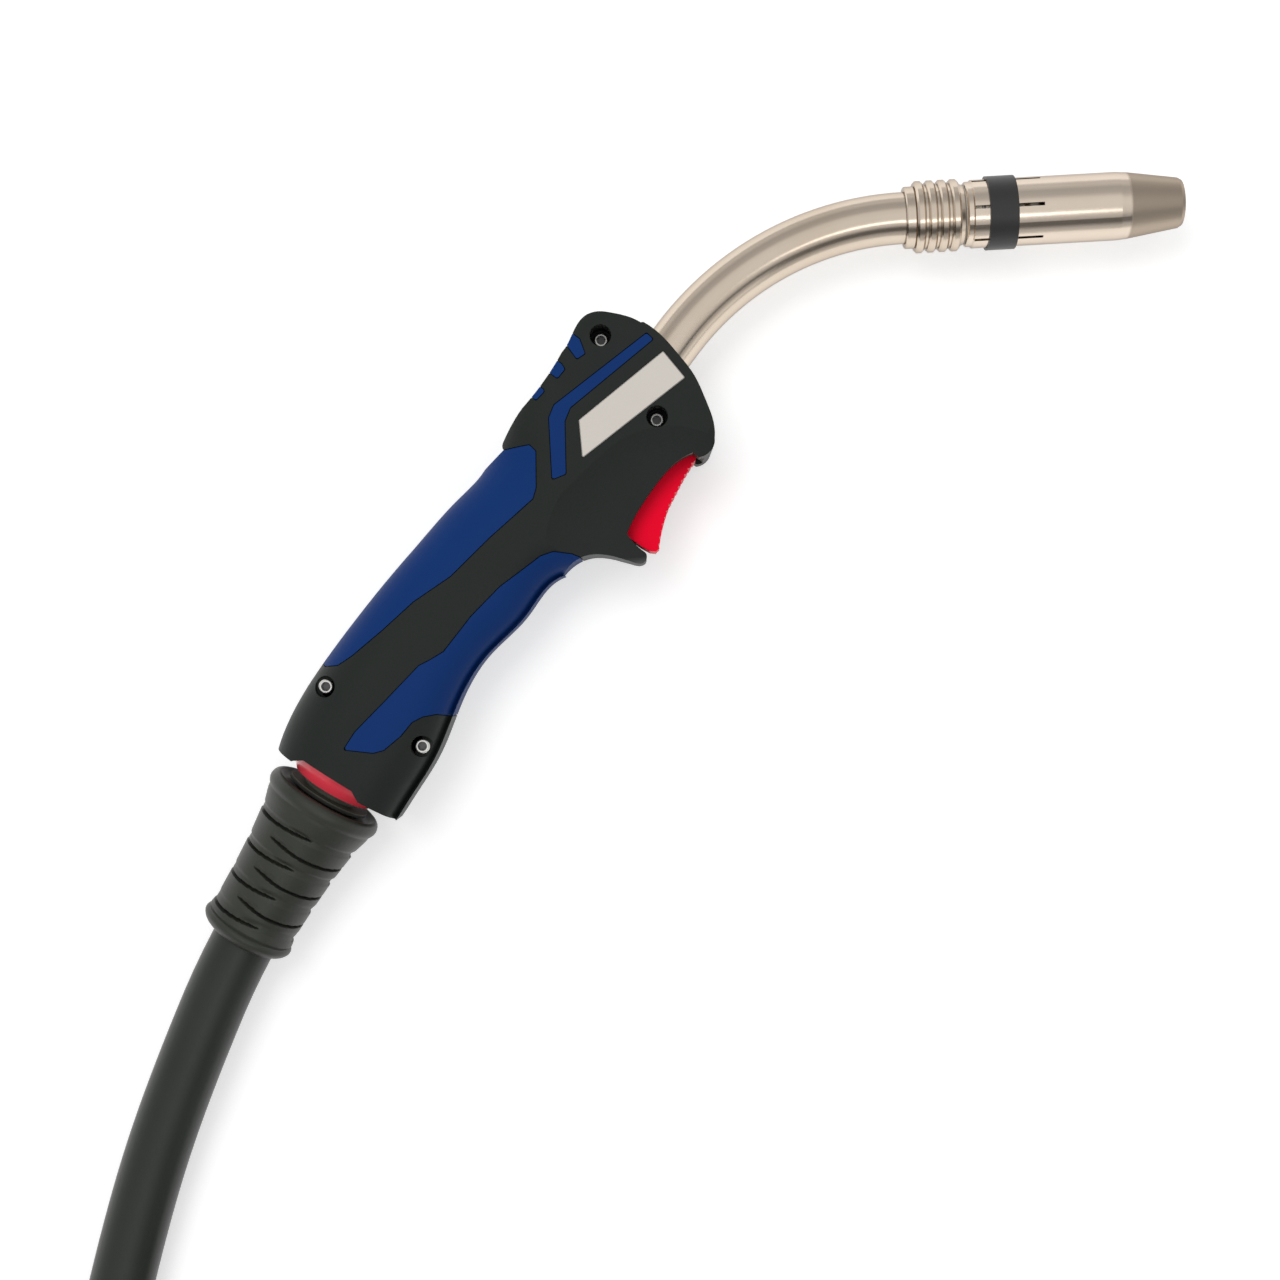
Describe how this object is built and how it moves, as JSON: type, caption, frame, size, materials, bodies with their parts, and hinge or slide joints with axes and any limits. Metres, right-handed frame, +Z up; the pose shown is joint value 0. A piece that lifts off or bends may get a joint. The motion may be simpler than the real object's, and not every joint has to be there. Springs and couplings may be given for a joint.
{
  "type": "mig welding torch",
  "caption": "Hand torch with an angled handle, trigger, swan neck and gas nozzle, on a cable with a bend relief and a central connector.",
  "frame": {"origin": "on the floor below the middle of the torch without its cable and connector", "axes": "+Z up, across the torch as it lies on its left side; +X along the gas nozzle's side of the picture, to its right; +Y away from the cable"},
  "size_m": [0.3888, 0.605, 0.043],
  "materials": {
    "black_plastic": "matte black moulded plastic",
    "blue_grip": "soft-touch blue inlay",
    "silver_plate": "satin silver, bare",
    "red_plastic": "bright red plastic",
    "red_ring": "glossy red plastic",
    "steel": "plain steel",
    "nickel": "nickel-plated, lightly satin",
    "brass": "machined brass or copper",
    "insulation": "pale heat-resistant insulation",
    "rubber": "dark rubber, soft sheen",
    "dark_plastic": "dark moulded plastic"
  },
  "bodies": {
    "cable": {"bend_relief": "rubber", "crimp_ferrule": "brass", "power_core_rear": "rubber", "cable_lead": "rubber", "cable_coil": "rubber", "cable_tail": "rubber", "plug_pin": "brass", "plug_body": "brass", "plug_ferrule": "brass", "o_ring": "rubber", "liner_nut": "brass", "plug_insulator": "dark_plastic", "plug_housing_left": "dark_plastic", "plug_housing_right": "dark_plastic", "plug_screws": "steel", "plug_boot": "rubber"},
    "collar": {"swivel_collar": "dark_plastic"},
    "ring": {"ball_ring": "red_ring"},
    "trigger": {"trigger": "red_plastic"},
    "switch_button": {"switch_button": "red_plastic"},
    "nozzle": {"gas_nozzle": "nickel", "nozzle_band": "steel"},
    "connector_nut": {"connector_nut": "dark_plastic"},
    "contact_pin_a": {"contact_pin_a": "brass"},
    "contact_pin_b": {"contact_pin_b": "brass"},
    "handle": {"back_grip_left": "blue_grip", "back_grip_right": "blue_grip", "belly_grip_left": "blue_grip", "belly_grip_right": "blue_grip", "cable_union": "brass", "contact_tip": "brass", "gas_diffuser": "insulation", "handle_shell_left": "black_plastic", "handle_shell_right": "black_plastic", "head_pads_left": "blue_grip", "head_pads_right": "blue_grip", "head_screws": "steel", "inner_conductor": "brass", "nameplate_left": "silver_plate", "nameplate_right": "silver_plate", "neck_block": "brass", "neck_head": "nickel", "neck_insulation": "insulation", "nozzle_seat": "insulation", "power_core_front": "rubber", "snap_ring": "steel", "stripe_left": "blue_grip", "stripe_right": "blue_grip", "swan_neck_tube": "nickel", "switch_body": "black_plastic", "switch_terminals": "brass", "switch_wires": "rubber", "tail_screws": "steel", "tip_holder": "brass", "trigger_pin": "steel", "wire_liner": "dark_plastic"}
  },
  "joints": [
    {"name": "cable_swivel", "type": "hinge", "parent": "cable", "child": "collar", "pos_m": [-0.10019, -0.05539, 0.0193], "axis": [-0.5168, -0.8533, -0.0698], "range_deg": [-180, 180]},
    {"name": "ball_nod", "type": "hinge", "parent": "collar", "child": "ring", "pos_m": [-0.10019, -0.05539, 0.0193], "axis": [0.8554, -0.518, 0], "range_deg": [-6, 6]},
    {"name": "ball_swing", "type": "hinge", "parent": "ring", "child": "handle", "pos_m": [-0.10019, -0.05539, 0.0193], "axis": [0, 0, 1], "range_deg": [-8, 12]},
    {"name": "trigger_pull", "type": "hinge", "parent": "handle", "child": "trigger", "pos_m": [-0.00741, 0.03233, 0.0193], "axis": [0, 0, 1], "range_deg": [-5.5, 0], "stiffness_Nm_per_rad": 0.6, "springref_deg": 1.15},
    {"name": "button_push", "type": "slide", "parent": "handle", "child": "switch_button", "axis": [-0.8039, 0.5948, 0], "range_m": [0, 0.0023]},
    {"name": "nozzle_pull", "type": "slide", "parent": "handle", "child": "nozzle", "axis": [0.9984, 0.0558, 0], "range_m": [0, 0.075]},
    {"name": "nut_turn", "type": "hinge", "parent": "cable", "child": "connector_nut", "pos_m": [0.15358, -0.46809, 0.0215], "axis": [1, 0, 0], "continuous": true},
    {"name": "pin_a_press", "type": "slide", "parent": "cable", "child": "contact_pin_a", "axis": [-1, 0, 0], "range_m": [0, 0.003], "stiffness_N_per_m": 600, "springref_m": -0.001},
    {"name": "pin_b_press", "type": "slide", "parent": "cable", "child": "contact_pin_b", "axis": [-1, 0, 0], "range_m": [0, 0.003], "stiffness_N_per_m": 600, "springref_m": -0.001}
  ],
  "couplings": [
    {"joint": "button_push", "follows": "trigger_pull", "m_per_rad": -0.0235}
  ]
}
